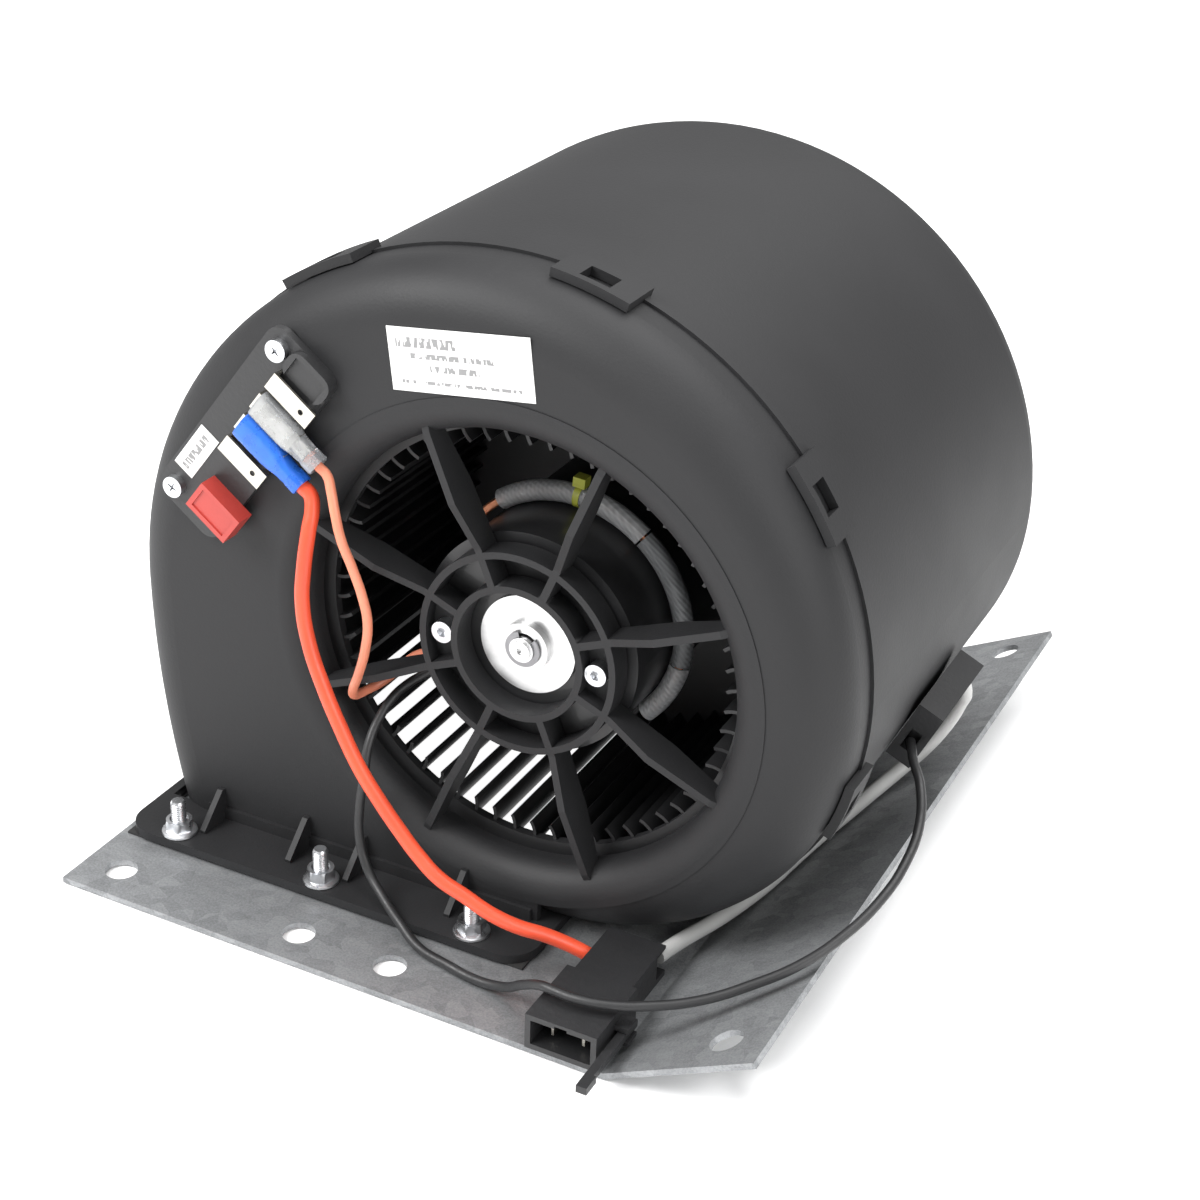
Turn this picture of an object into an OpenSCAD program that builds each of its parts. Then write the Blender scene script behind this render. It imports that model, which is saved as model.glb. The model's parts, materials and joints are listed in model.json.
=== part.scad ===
// Direct-current centrifugal blower: a spiral housing with a ribbed motor spider,
// a permanent-magnet motor, a two-cage blade wheel, a speed-resistor card,
// its leads and connectors, and a folded mounting plate.
// Millimetres. Z is up, Y runs along the wheel's axis into the housing, and the
// origin is on the plate's underside, below the axis, at the housing's front face.

/* [Housing] */
// Height of the wheel's axis above the plate's underside
axis_h = 94; // [94:1:110]
// Depth of the housing, front face to rear face
housing_depth = 195; // [185:1:215]
// Depth of the front cover, from its face to the seam
cover_depth = 25; // [24:1:30]
// Wall thickness of the housing
wall = 2.5; // [2:0.1:3]
// Outer radius of the housing's shoulders
shoulder_r = 17; // [14:0.5:18]
// Wall radius of the spiral beside the tongue
tongue_r = 91.5; // [90:0.5:93]
// Growth of the wall radius at the right-hand side
side_growth = 25; // [22:0.5:28]
// Growth of the wall radius over the left quarter
left_growth = 9; // [7:0.5:10]
// Sideways place of the tongue arc's centre
spiral_x = 12.5; // [11:0.5:14]
// Radius of the gently curved left wall below the spiral
left_wall_r = 350; // [320:10:400]
// Right-hand edge of the outlet in the flange
outlet_right = 5.5; // [3:0.5:8]
// Height of the raised rim along the seam
seam_rim = 1; // [0.6:0.1:1.4]
// Width of the raised rim along the seam
seam_rim_w = 3; // [2:0.1:4]
// Gap between mating mouldings
fit_gap = 0.3; // [0.2:0.05:0.5]

/* [Inlets] */
// Radius at which each face starts to roll into its inlet
inlet_rim_r = 80; // [79:0.5:82]
// Radius of the roll of each inlet
inlet_roll = 9; // [8:0.5:10]
// Length of the straight lip behind the roll
inlet_lip = 3; // [2:0.5:4]

/* [Spider] */
// Number of ribs that carry the motor
rib_count = 8; // [8:1:8]
// Thickness of each rib
rib_t = 2.4; // [2:0.1:3]
// Outer radius of the outer ring
ring_r = 33; // [32:0.5:34]
// Thickness of both rings
ring_t = 2.2; // [1.8:0.1:2.6]
// Inner radius of the cup that the motor's nose sits in
cup_r = 20; // [19:0.5:21]
// Distance of the rings' front edges behind the face
ring_y = 6; // [5:0.5:7]
// Radius at which the ribs kink forward
kink_r = 50; // [46:1:54]
// Distance of the mounting pads behind the face
pad_y = 11; // [10:0.5:12]
// Thickness of the mounting pads
pad_t = 4; // [3:0.5:4]
// Radius of the two motor screws' places
motor_screw_r = 25.9; // [25:0.1:26]

/* [Wheel] */
// Outer radius of the blade wheel
wheel_r = 74.5; // [72:0.5:75]
// Inner radius of the blades
blade_in_r = 63; // [60:0.5:64]
// Number of blades in each cage
blade_count = 60; // [40:1:64]
// Thickness of a blade
blade_t = 1.1; // [0.9:0.1:1.4]
// Radius of a blade's curve
blade_curve = 9; // [8:0.5:10]
// Running gap between each inlet lip and the wheel
wheel_gap = 2.5; // [2:0.5:4]
// Thickness of the wheel's middle web
web_t = 2.4; // [2:0.2:3]
// Width of the end hoops
hoop_w = 3; // [2:0.5:4]
// Radial height of the end hoops
hoop_h = 6; // [5:0.5:8]

/* [Motor] */
// Outer radius of the motor's can
can_r = 36; // [35:0.5:38]
// Length of the motor's can
can_len = 66; // [62:1:70]
// Wall of the motor's can
can_wall = 2; // [1.5:0.1:2.5]
// Thickness of the front end shield
shield_t = 7; // [7:0.5:8]
// Radius of the shaft
shaft_r = 4; // [3.5:0.1:4.2]
// Radial running clearance of the shaft in its bearings
running_gap = 0.05; // [0.02:0.01:0.1]
// Outer radius of each ball bearing
bearing_r = 11; // [10:0.5:11]
// Width of each ball bearing
bearing_w = 7; // [6:0.5:7]
// Thickness of the field magnets
magnet_t = 8.1; // [7:0.1:9]
// Length of the armature's core
core_len = 32; // [28:1:34]
// Air gap between the core and the magnets
air_gap = 0.8; // [0.6:0.1:1.2]
// Number of slots in the core
slot_count = 12; // [8:1:16]
// Radius of the commutator
commutator_r = 11; // [9:0.5:12]
// Radius of the insulating sleeve that runs round the can
sleeve_r = 3.3; // [2.8:0.1:3.6]

/* [Plate] */
// Thickness of the mounting plate
plate_t = 2; // [1.5:0.1:3]
// Left edge of the plate
plate_left = -132.5; // [-136:0.5:-132]
// Where the fold starts
fold_x = 60; // [60:0.5:64]
// Length of the folded part beyond its bend
fold_len = 50; // [44:0.5:56]
// Angle of the fold
fold_angle = 26.5; // [20:0.5:30]
// Inner radius of the bend
fold_r = 2; // [1.5:0.5:3]
// Front edge of the plate
plate_front = -49.5; // [-54:0.5:-46]
// Depth of the plate
plate_depth = 281.5; // [270:0.5:300]
// Radius of the fixing holes
fixing_r = 5.25; // [4:0.25:5.5]
// Distance of the fixing holes from the plate's front and rear edges
fixing_inset = 12.5; // [11:0.5:14]

/* [Flange] */
// Thickness of the gasket under the flange
gasket_t = 0.8; // [0.5:0.1:1.5]
// Thickness of the outlet flange
flange_t = 3; // [2.5:0.1:4]
// Reach of the flange beyond the front and rear walls
flange_reach = 20.5; // [19:0.5:22]
// Left end of the flange
flange_left = -131; // [-132:0.5:-130]
// Right end of the flange
flange_right = 19; // [17:0.5:20]
// Corner radius of the flange
flange_corner = 10; // [6:0.5:12]
// Distance between neighbouring studs
stud_pitch = 55; // [52:0.5:56]
// Place of the first stud
stud_x = -112.5; // [-114:0.5:-111]
// Distance of the studs in front of the wall
stud_reach = 14.5; // [13:0.5:15]
// Radius of the studs
stud_r = 2.5; // [2.4:0.05:2.6]
// Height of the studs above the flange
stud_top = 12; // [10:0.5:14]
// Width of the nuts across their flats
nut_af = 8; // [7.8:0.1:9]

/* [Resistor card] */
// Distance between the card's two screws
card_screw_gap = 66; // [64:0.5:70]
// Angle of the card on the face
card_angle = 52.7; // [50:0.1:55]
// Thickness of the card
card_t = 2.6; // [2:0.1:3]
// Width of a terminal tab
tab_w = 6.3; // [6.3:0.1:6.3]
// Thickness of a terminal tab
tab_t = 0.8; // [0.8:0.1:0.8]
// Height of the tabs above the card
tab_lift = 3.2; // [3.2:0.1:4]

/* [Leads] */
// Diameter of the supply lead
supply_d = 4.6; // [4:0.1:5]
// Diameter of the motor lead
motor_lead_d = 3; // [2.6:0.1:3.4]
// Diameter of the twin sensing lead
twin_d = 3; // [2.6:0.1:3.4]
// Diameter of the return lead
return_d = 5; // [4:0.1:5.2]

/* [Hidden] */
fn_big = 128;
fn_mid = 64;
fn_small = 32;

// Spiral: three tangent arcs beside the axis, each [centre, wall radius, from, to].
c_tongue = [spiral_x, 0];
c_top = c_tongue - [side_growth, 0];
r_top = tongue_r + side_growth;
c_left = c_top - [0, left_growth];
r_left = r_top + left_growth;
duct_right = c_tongue[0];
c_wall = c_left + [left_wall_r - r_left, 0];
wall_turn = asin((axis_h - left_growth) / left_wall_r);
ARCS = [[c_tongue, tongue_r, -90, 0], [c_top, r_top, 0, 90], [c_left, r_left, 90, 180],
  [c_wall, left_wall_r, 180, 180 + wall_turn]];
// Snap clips: [arc number, angle on that arc].
CLIPS = [[0, -17], [1, 34], [1, 76], [2, 118]];
rim_bead = 0.3;
clip_half = 6;
clip_window = 2.3;
clip_t = 2.8;
clip_front = cover_depth - 10.5;
clip_back = cover_depth + 5;

inlet_throat = inlet_rim_r - inlet_roll;
lip_end = inlet_roll + inlet_lip;
bell_t = wall;
flange_z = plate_t + gasket_t;
flange_top = flange_z + flange_t;
rear_y = housing_depth;
left_wall_foot = c_wall[0] - sqrt(pow(left_wall_r, 2) - pow(axis_h - left_growth - flange_top, 2));
duct_left = left_wall_foot + wall / 2;

ring_depth = 8;
cup_depth = 16;
pad_half = 24;
pad_back = pad_y + pad_t;
shield_y = pad_back;
can_y = shield_y + shield_t;
can_end = can_y + can_len;
nose_r = 16;
nose_y = shield_y - 1.5;
shaft_front = nose_y - 5;
wheel_y = lip_end + wheel_gap;
wheel_end = rear_y - lip_end - wheel_gap;
web_y = (wheel_y + wheel_end) / 2;
hub_r = 12;
hub_len = 16;
hub_y = web_y - 3;
shaft_end = hub_y + hub_len + 4;
rear_bearing_y = can_end - 4;
core_y = can_y + 22;
commutator_y = can_y + 4;
commutator_len = 11.6;
magnet_out = can_r - can_wall - 0.1;
magnet_in = magnet_out - magnet_t;
core_r = magnet_in - air_gap;
sleeve_y = can_y + 17;
sleeve_path = can_r + fit_gap + sleeve_r;

fold_steps = 8;
fixing_front = plate_front + fixing_inset;
fixing_back = plate_front + plate_depth - fixing_inset;
FIXING_X = [-119, -51, -18];
fold_fixing = 35.3;
STUDS = [for (y = [-stud_reach, rear_y + stud_reach]) for (i = [0:2]) [stud_x + i * stud_pitch, y]];
GUSSETS = [-105.3, -72, -50.3, -13];
outlet_inset = 4;

card_x = -114.1;
card_z = 31.5;
card_low = -6;
card_high = 72;
card_out = -6;
card_in = 20;
TAB_S = [28.5, 38.9, 48.7, 58];
tab_root = 4;
tab_end = 21;
tab_y = -card_t - tab_lift;
sleeve_len = 26;
sleeve_root = tab_root + tab_t + 0.2;
sleeve_w = 9.6;
sleeve_h = 5.2;
grip_len = 16.6;

// Lead routes, points chosen by hand.
SUPPLY_ROUTE = [[-69.21, -5.4, 140.2], [-65.87, -5.4, 137.66], [-63.08, -5.4, 135.54], [-61.6, -6.9, 132], [-61.3, -9.4, 126.5],
  [-61.5, -12.2, 116], [-61.2, -14.2, 104], [-58, -16, 92],
  [-52, -18, 80], [-45, -20, 69], [-37, -22, 58], [-30, -23, 50], [-22, -24, 42], [-15, -25, 36],
  [-7, -26, 31], [1, -25, 27], [9, -24, 23], [17, -21, 19], [24, -17, 16], [31, -13, 12], [37, -11, 9]];
MOTOR_ROUTE = [[-63.27, -5.4, 148], [-59.93, -5.4, 145.45], [-57.14, -5.4, 143.33], [-54.7, -7, 139.2], [-52.6, -8.6, 134],
  [-50.5, -9, 126], [-48, -7, 116], [-46, -5, 106],
  [-45, -4, 97], [-46, -4, 88], [-49, -3.4, 78], [-52, -2, 71], [-54, 2, 66.5], [-54, 8, 65],
  [-51.5, 14, 66], [-48, 17.8, 69.5], [-43.5, 19, 74.5], [-37.4, 19, 78.4]];
TWIN_ROUTE = [[-34.6, 19, 73], [-39, 18, 70], [-43, 14.5, 67], [-45.2, 9, 64], [-46, 4, 60.5], [-46, -3, 54],
  [-45.5, -7, 44], [-46, -9, 34], [-45, -11, 24], [-41, -13, 15], [-33, -17, 9.5], [-24, -22, 6.5],
  [-14, -27, 3.8], [-2, -30, 3.6], [9, -32, 3.6], [20, -34, 6.5], [28, -37, 12.5], [35, -39.5, 16.6], [40, -40.5, 17.3], [46, -41, 17.5],
  [56, -39, 17.5], [66, -34, 17.5], [79, -26, 19], [91, -17, 23], [102, -7, 28], [110, 6, 33], [115, 20, 38],
  [117, 34, 43], [116, 48, 49], [112, 58, 55], [106, 68, 57], [101.6, 77.8, 57.4]];
RETURN_ROUTE = [[54, 0, 8], [55.5, 6, 8], [58, 14, 8], [62, 25, 8.2], [66, 38, 8.8], [69, 50, 9.6], [72, 64, 11.4],
  [75, 78, 12.8], [79, 92, 14.8], [83, 106, 17], [88, 118, 21], [94, 126, 28], [99, 130, 37], [102, 129, 45],
  [104, 126, 51], [102.8, 123.5, 57], [102.5, 118.2, 59.2]];

connector_x = 47;
connector_w = 23;
connector_h = 12;
connector_back = 0;
connector_front = -50;
connector_neck = 19;
latch_x = connector_x + connector_w / 2 + 2.6;
latch_pivot_y = -36;
side_w = 40;

// Turns a child about the wheel's axis: its Z becomes Y, its angles run the right way round.
module on_axis(y) {
  translate([0, y, axis_h]) rotate([-90, 0, 0]) children();
}

// Sweeps a (radius, depth) profile about a point beside the axis.
module sweep(c, from, to) {
  translate([c[0], 0, axis_h + c[1]]) rotate([-90, 0, 0]) rotate([0, 0, -from]) mirror([0, 1, 0])
    rotate_extrude(angle = to - from, $fn = fn_big) children();
}

module at_angle(a) {
  rotate([0, 0, -a]) children();
}

// Section of one shell's outer wall: face, rounded shoulder and side, down to the seam.
module shell_section(r, depth, inner) {
  difference() {
    union() {
      translate([r - shoulder_r, shoulder_r]) circle(r = shoulder_r, $fn = fn_mid);
      translate([r - shoulder_r, shoulder_r]) square([shoulder_r, depth - shoulder_r]);
      translate([inner, 0]) square([r - shoulder_r - inner, wall]);
    }
    translate([r - shoulder_r, shoulder_r]) circle(r = shoulder_r - wall, $fn = fn_mid);
    translate([r - shoulder_r, shoulder_r]) square([shoulder_r - wall, depth]);
    translate([r - shoulder_r, depth]) square([shoulder_r + 1, shoulder_r + 1]);
    translate([inner - 1, wall]) square([r - shoulder_r - inner + 1, depth + shoulder_r]);
  }
}

// Mirrors a child from the front face to the rear one.
module at_rear() {
  translate([0, rear_y, 0]) mirror([0, 1, 0]) children();
}

// One shell of the housing, its face at depth 0 and open at the seam.
module shell(depth) {
  for (a = ARCS) sweep(a[0], a[2], a[3]) shell_section(a[1], depth, max(40, a[1] - 100));
  // flat of the face above the flange, up to where the tongue's round side starts
  face_left = left_wall_foot + shoulder_r + 2;
  translate([face_left, 0, flange_z]) cube([duct_right - face_left, wall, 60]);
}

// What an inlet and the space below the flange take away from a shell.
module shell_cuts() {
  on_axis(-1) cylinder(r = inlet_rim_r, h = wall + 2, $fn = fn_big);
  translate([-200, -2, -60]) cube([400, rear_y + 4, 60 + flange_z]);
}

// Rolled inlet with a short straight lip, a little proud of the face.
module inlet_roll_ring() {
  on_axis(-rim_bead) rotate_extrude($fn = fn_big) {
    difference() {
      translate([inlet_rim_r, inlet_roll]) circle(r = inlet_roll, $fn = fn_mid);
      translate([inlet_rim_r, inlet_roll]) circle(r = inlet_roll - bell_t, $fn = fn_mid);
      translate([inlet_rim_r, -1]) square([20, 40]);
      translate([inlet_rim_r - 20, inlet_roll]) square([20, 40]);
    }
    translate([inlet_throat, inlet_roll]) square([bell_t, inlet_lip]);
    translate([inlet_rim_r, 0]) square([2.5, bell_t]);
  }
}

// Flange strip below a shell, from y0 to y1, with the duct's opening in it.
module flange_strip(y0, y1, round_front) {
  length = y1 - y0;
  difference() {
    union() {
      translate([flange_left, round_front ? y0 + flange_corner : y0, flange_z])
        cube([flange_right - flange_left, length - flange_corner, flange_t]);
      translate([flange_left + flange_corner, y0, flange_z])
        cube([flange_right - flange_left - 2 * flange_corner, length, flange_t]);
      for (x = [flange_left + flange_corner, flange_right - flange_corner])
        translate([x, round_front ? y0 + flange_corner : y1 - flange_corner, flange_z])
          cylinder(r = flange_corner, h = flange_t, $fn = fn_mid);
    }
    translate([duct_left, wall, flange_z - 1]) cube([outlet_right - duct_left, rear_y - 2 * wall, flange_t + 2]);
    for (s = STUDS) translate([s[0], s[1], flange_z - 1]) cylinder(r = stud_r + 0.3, h = flange_t + 2, $fn = fn_small);
  }
}

// Thin triangular ribs between a wall and the flange.
module gussets(y, way) {
  for (x = GUSSETS) translate([x + 1, y, flange_top]) rotate([90, 0, -90])
    linear_extrude(2) polygon([[way * -1, -1], [way * 12, -1], [way * 12, 1], [way * 1.5, 11], [way * -1, 11]]);
}

// Ribs, rings and pads that hold the motor in the front inlet.
module spider() {
  rib_out = inlet_throat + inlet_roll * 0.45;
  rib_back = ring_y + ring_depth;
  on_axis(0) {
    for (i = [0 : rib_count - 1]) rotate([0, 0, (i + 0.5) * 360 / rib_count]) rotate([90, 0, 0])
      translate([0, 0, -rib_t / 2]) linear_extrude(rib_t)
        polygon([[cup_r + 1, ring_y], [ring_r + 1, ring_y], [kink_r, 1.4], [rib_out - 3, 1.4], [rib_out, 2.2],
          [inlet_throat + 1, inlet_roll], [kink_r + 4, rib_back - 1], [ring_r, rib_back + 0.5], [cup_r + 1, rib_back + 0.5]]);
    translate([0, 0, ring_y]) difference() {
      cylinder(r = ring_r, h = ring_depth, $fn = fn_big);
      translate([0, 0, -1]) cylinder(r = ring_r - ring_t, h = ring_depth + 2, $fn = fn_big);
    }
    translate([0, 0, ring_y]) difference() {
      cylinder(r = cup_r + ring_t, h = pad_back - ring_y - 0.7, $fn = fn_big);
      translate([0, 0, -1]) cylinder(r = cup_r, h = cup_depth, $fn = fn_big);
    }
    for (a = [0, 180]) rotate([0, 0, a - pad_half]) translate([0, 0, pad_y])
      rotate_extrude(angle = 2 * pad_half, $fn = fn_big) translate([cup_r + 1, 0]) square([ring_r - cup_r - 2, pad_t]);
  }
}

// Raised loops that reach over the seam, and the hooks that they catch on.
module clip_loops() {
  for (k = CLIPS) {
    c = ARCS[k[0]][0];
    r = ARCS[k[0]][1];
    out = r + fit_gap + clip_t;
    difference() {
      sweep(c, k[1] - clip_half, k[1] + clip_half) polygon([[r + fit_gap, clip_front], [out, clip_front],
        [out, clip_back], [r - 0.8, clip_back], [r - 0.8, cover_depth + 1], [r + fit_gap, cover_depth + 1]]);
      sweep(c, k[1] - clip_window, k[1] + clip_window)
        translate([r - 2, clip_front + 2.4]) square([clip_t + 4, cover_depth - clip_front - 2.9]);
    }
  }
}

module clip_hooks() {
  for (k = CLIPS) {
    a = ARCS[k[0]];
    sweep(a[0], k[1] - clip_window + 0.3, k[1] + clip_window - 0.3)
      polygon([[a[1] - 1, clip_front + 2.9], [a[1] + 2.4, clip_front + 2.9], [a[1] + 2.4, clip_front + 3.9], [a[1] - 1, clip_front + 8]]);
  }
}

// A band that follows the spiral and the left wall.
module band(r0, r1, y0, y1) {
  for (a = ARCS) sweep(a[0], a[2], a[3]) translate([a[1] + r0, y0]) square([r1 - r0, y1 - y0]);
}

module front_cover() {
  color([0.2, 0.2, 0.21]) difference() {
    union() {
      difference() {
        union() {
          shell(cover_depth);
          band(-wall - fit_gap - 1.4, -wall - fit_gap, cover_depth - 4, cover_depth + 3);
          band(-wall - fit_gap - 1.4, -1, cover_depth - 4, cover_depth - 2);
          clip_hooks();
        }
        shell_cuts();
      }
      inlet_roll_ring();
      spider();
      flange_strip(-flange_reach, cover_depth, true);
      gussets(0, 1);
      translate([duct_left + shoulder_r, -1.2, flange_top - 1]) cube([duct_right - duct_left - shoulder_r - 2, 2.2, 5]);
    }
    for (x = [-1, 1]) translate([x * motor_screw_r, 0, axis_h]) rotate([-90, 0, 0])
      cylinder(r = 2.7, h = pad_back + 2, $fn = fn_small);
    translate([outlet_right - 1, cover_depth, 0]) cube([40, 5, flange_top + fit_gap]);
    card_frame() translate([16, -1, -15]) cube([42, wall + 2, 13]);
    card_frame() for (s = [0, card_screw_gap]) translate([s, -1, 0]) rotate([-90, 0, 0]) cylinder(r = 1.6, h = 12, $fn = fn_small);
  }
}

module scroll_body() {
  color([0.17, 0.17, 0.18]) union() {
    difference() {
      union() {
        at_rear() shell(rear_y - cover_depth);
        band(-0.5, seam_rim, cover_depth, cover_depth + seam_rim_w);
        clip_loops();
      }
      at_rear() shell_cuts();
    }
    at_rear() inlet_roll_ring();
    flange_strip(cover_depth, rear_y + flange_reach, false);
    gussets(rear_y, -1);
  }
}

module flange_gasket() {
  color([0.08, 0.08, 0.08]) translate([0, 0, plate_t]) difference() {
    translate([flange_left + 1, -flange_reach + 1, 0])
      cube([flange_right - flange_left - 2, rear_y + 2 * flange_reach - 2, gasket_t]);
    translate([duct_left + 1, outlet_inset, -1]) cube([outlet_right - duct_left - 2, rear_y - 2 * outlet_inset, gasket_t + 2]);
    for (s = STUDS) translate([s[0], s[1], -1]) cylinder(r = stud_r + 0.3, h = gasket_t + 2, $fn = fn_small);
  }
}

module base_plate() {
  color([0.6, 0.62, 0.64]) difference() {
    translate([0, plate_front + plate_depth, 0]) rotate([90, 0, 0]) linear_extrude(plate_depth) plate_section();
    translate([duct_left + 2, outlet_inset + 1, -1]) cube([outlet_right - duct_left - 4, rear_y - 2 * outlet_inset - 2, plate_t + 2]);
    for (x = FIXING_X) for (y = [fixing_front, fixing_back])
      translate([x, y, -1]) cylinder(r = fixing_r, h = plate_t + 2, $fn = fn_mid);
    fold_frame() for (y = [fixing_front, fixing_back])
      translate([fold_fixing, y, -plate_t - 1]) cylinder(r = fixing_r, h = plate_t + 2, $fn = fn_mid);
    for (s = STUDS) translate([s[0], s[1], -1]) {
      cylinder(r = stud_r + 0.05, h = plate_t + 2, $fn = fn_small);
      cylinder(r = stud_r + 1.5, h = 1.9, $fn = fn_small);
    }
  }
}

// Section of the plate across its fold: flat part, bend and raised part.
module plate_section() {
  polygon(concat([[plate_left, plate_t], [plate_left, 0]],
    bend_points(fold_r + plate_t, 0), [bend_points(fold_r + plate_t, fold_len)[fold_steps]],
    [bend_points(fold_r, fold_len)[fold_steps]], [for (i = [0 : fold_steps]) bend_points(fold_r, 0)[fold_steps - i]]));
}

// Points round the fold at one radius, each moved on along its own heading.
function bend_points(r, on) = [for (i = [0 : fold_steps]) let (a = fold_angle * i / fold_steps)
  [fold_x + r * sin(a) + on * cos(a), plate_t + fold_r - r * cos(a) + on * sin(a)]];

// The folded part's own frame: its top face at height 0, starting after the bend.
module fold_frame() {
  translate([fold_x, 0, plate_t + fold_r]) rotate([0, -fold_angle, 0]) translate([0, 0, -fold_r]) children();
}

module flange_studs() {
  color([0.75, 0.75, 0.76]) for (s = STUDS) translate([s[0], s[1], 0]) {
    cylinder(r = stud_r + 1.4, h = 0.8, $fn = fn_small);
    cylinder(r = stud_r, h = flange_top + stud_top - 0.6, $fn = fn_small);
    translate([0, 0, flange_top + stud_top - 0.6]) cylinder(r1 = stud_r, r2 = stud_r - 0.6, h = 0.6, $fn = fn_small);
  }
}

module flange_nuts() {
  color([0.85, 0.85, 0.86]) for (s = STUDS) translate([s[0], s[1], flange_top]) difference() {
    union() {
      cylinder(r = nut_af * 0.74, h = 1.3, $fn = fn_small);
      translate([0, 0, 1]) cylinder(r = nut_af / 2 / cos(30), h = 4, $fn = 6);
    }
    translate([0, 0, -1]) cylinder(r = stud_r + 0.06, h = 8, $fn = fn_small);
  }
}

module motor_end_shield() {
  color([0.1, 0.1, 0.1]) difference() {
    union() {
      on_axis(shield_y) rotate_extrude($fn = fn_big) difference() {
        union() {
          translate([shaft_r + 2, 0]) square([can_r - shaft_r - 2, shield_t]);
          translate([shaft_r + 2, 0]) square([cup_r - shaft_r - 2.5, shield_t]);
        }
        translate([0, shield_t - bearing_w + 1.5]) square([bearing_r + 0.02, bearing_w + 2]);
        translate([can_r - can_wall - 3, shield_t - 3]) square([1, 5]);
      }
      // lead outlet
      on_axis(shield_y + 1) at_angle(207) translate([can_r - 3, -6, 0]) cube([7, 12, shield_t - 1]);
    }
    for (x = [-1, 1]) translate([x * motor_screw_r, shield_y - 1, axis_h]) rotate([-90, 0, 0])
      cylinder(r = 2.52, h = shield_t + 3, $fn = fn_small);
  }
}

module motor_can() {
  color([0.12, 0.12, 0.13]) on_axis(can_y) rotate_extrude($fn = fn_big) {
    translate([can_r - can_wall, 0]) square([can_wall, can_len - 3]);
    difference() {
      translate([can_r - 3, can_len - 3]) circle(r = 3, $fn = fn_small);
      translate([can_r - 3, can_len - 3]) circle(r = 3 - can_wall, $fn = fn_small);
      translate([can_r - 10, can_len - 13]) square([10, 10]);
      translate([can_r - 13, can_len - 6]) square([10, 10]);
    }
    translate([bearing_r + 0.02, can_len - can_wall]) square([can_r - bearing_r - 3, can_wall]);
    translate([bearing_r + 0.02, can_len - 5]) square([2, 8.5]);
    translate([shaft_r + 1.5, can_len + 3]) square([bearing_r - shaft_r - 0.5, 1.5]);
  }
}

module motor_nose_cap() {
  color([0.82, 0.82, 0.83]) on_axis(nose_y) rotate_extrude($fn = fn_big) {
    translate([shaft_r + 1, 0]) square([nose_r - shaft_r - 1, shield_y - nose_y]);
    translate([shaft_r + 1, -2.5]) square([3, 3]);
  }
}

module motor_screws() {
  color([0.8, 0.8, 0.82]) for (x = [-1, 1]) translate([x * motor_screw_r, 0, axis_h]) rotate([-90, 0, 0]) {
    difference() {
      translate([0, 0, pad_y - 4]) cylinder(r = 3.5, h = 4, $fn = fn_small);
      translate([0, 0, pad_y - 5]) cylinder(r = 1.73, h = 3, $fn = 6);
    }
    translate([0, 0, pad_y - 1]) cylinder(r = 2.5, h = pad_t + shield_t - 1, $fn = fn_small);
  }
}

module ball_bearing(y) {
  color([0.72, 0.72, 0.74]) on_axis(y) rotate_extrude($fn = fn_mid) difference() {
    translate([shaft_r + running_gap, 0]) square([bearing_r - shaft_r - running_gap, bearing_w]);
    for (z = [-0.6, bearing_w - 0.4]) translate([shaft_r + 2.2, z]) square([bearing_r - shaft_r - 4.4, 1]);
  }
}

module front_bearing() {
  ball_bearing(shield_y + shield_t - bearing_w + 1.5);
}

module rear_bearing() {
  ball_bearing(rear_bearing_y);
}

module motor_shaft() {
  color([0.7, 0.7, 0.72]) on_axis(shaft_front) difference() {
    union() {
      cylinder(r = shaft_r - 0.8, h = 1, $fn = fn_mid);
      translate([0, 0, 0.8]) cylinder(r = shaft_r, h = shaft_end - shaft_front - 0.8, $fn = fn_mid);
    }
    translate([0, 0, 1.4]) difference() {
      cylinder(r = shaft_r + 1, h = 1, $fn = fn_mid);
      translate([0, 0, -1]) cylinder(r = shaft_r - 0.6, h = 3, $fn = fn_mid);
    }
    translate([0, 0, -1]) cylinder(r = 1.1, h = 2.2, $fn = fn_small);
  }
}

module shaft_circlip() {
  color([0.35, 0.35, 0.36]) on_axis(shaft_front + 1.5) rotate([0, 0, -45]) rotate_extrude(angle = 300, $fn = fn_mid)
    translate([shaft_r - 0.55, 0]) square([2.3, 0.8]);
}

module armature_core() {
  color([0.45, 0.45, 0.47]) on_axis(core_y) difference() {
    cylinder(r = core_r, h = core_len, $fn = fn_big);
    translate([0, 0, -1]) cylinder(r = shaft_r + 0.02, h = core_len + 2, $fn = fn_mid);
    for (i = [0 : slot_count - 1]) rotate([0, 0, i * 360 / slot_count]) translate([10, -2.4, -1])
      cube([core_r - 12, 4.8, core_len + 2]);
    for (i = [0 : slot_count - 1]) rotate([0, 0, i * 360 / slot_count]) translate([core_r - 3, -1, -1])
      cube([6, 2, core_len + 2]);
  }
}

module armature_windings() {
  color([0.72, 0.4, 0.18]) on_axis(0) {
    for (y = [core_y - 6.2, core_y + core_len + 0.2]) translate([0, 0, y]) difference() {
      cylinder(r = core_r - 3, h = 6, $fn = fn_mid);
      translate([0, 0, -1]) cylinder(r = 8.5, h = 8, $fn = fn_mid);
    }
    for (i = [0 : slot_count - 1]) rotate([0, 0, i * 360 / slot_count]) translate([11, -1.9, core_y - 0.5])
      cube([core_r - 14.4, 3.8, core_len + 1]);
  }
}

module commutator() {
  color([0.75, 0.45, 0.25]) on_axis(commutator_y) difference() {
    cylinder(r = commutator_r, h = commutator_len, $fn = fn_mid);
    translate([0, 0, -1]) cylinder(r = shaft_r + 0.02, h = commutator_len + 2, $fn = fn_mid);
    for (i = [0 : slot_count - 1]) rotate([0, 0, (i + 0.5) * 360 / slot_count]) translate([commutator_r - 1, -0.35, -1])
      cube([2, 0.7, commutator_len - 1]);
  }
}

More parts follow.
